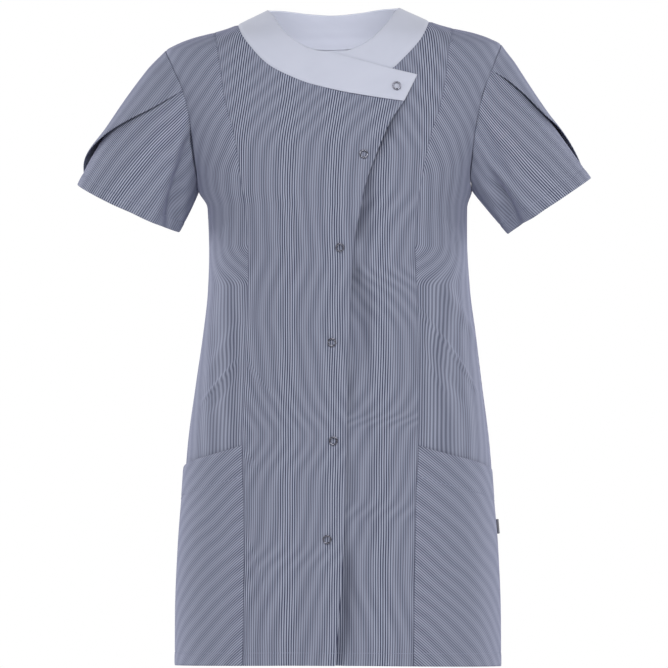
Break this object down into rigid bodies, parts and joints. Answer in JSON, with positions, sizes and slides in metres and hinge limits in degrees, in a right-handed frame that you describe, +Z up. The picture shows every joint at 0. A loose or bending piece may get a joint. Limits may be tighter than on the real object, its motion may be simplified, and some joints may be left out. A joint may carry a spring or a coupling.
{
  "type": "work tunic",
  "caption": "Short-sleeved work tunic, filled out as when worn, with an asymmetric snap front, a wide flat neckband, petal sleeves and side-front pockets.",
  "frame": {"origin": "middle of the neck, at the height where the wearer's shoulders carry the tunic", "axes": "+Z up along the wearer, the front faces -Y, and the wearer's left is +X"},
  "size_m": [0.6001, 0.2861, 0.7699],
  "materials": {
    "striped_cloth": "woven, fine navy and white pinstripe",
    "white_cloth": "woven, matt white",
    "snap_metal": "bright nickel",
    "label_cloth": "woven, dark and plain"
  },
  "bodies": {
    "root": {"back": "striped_cloth", "front_left_under": "striped_cloth", "front_right_over": "striped_cloth", "neckband_back": "white_cloth", "neckband_left_under": "white_cloth", "neckband_right_over": "white_cloth", "pocket_left": "striped_cloth", "pocket_right": "striped_cloth", "side_front_left": "striped_cloth", "side_front_right": "striped_cloth", "side_label": "label_cloth", "sleeve_left_back_petal": "striped_cloth", "sleeve_left_front_petal": "striped_cloth", "sleeve_right_back_petal": "striped_cloth", "sleeve_right_front_petal": "striped_cloth", "snap_1": "snap_metal", "snap_2": "snap_metal", "snap_3": "snap_metal", "snap_4": "snap_metal", "snap_5": "snap_metal", "snap_6": "snap_metal"}
  },
  "joints": []
}
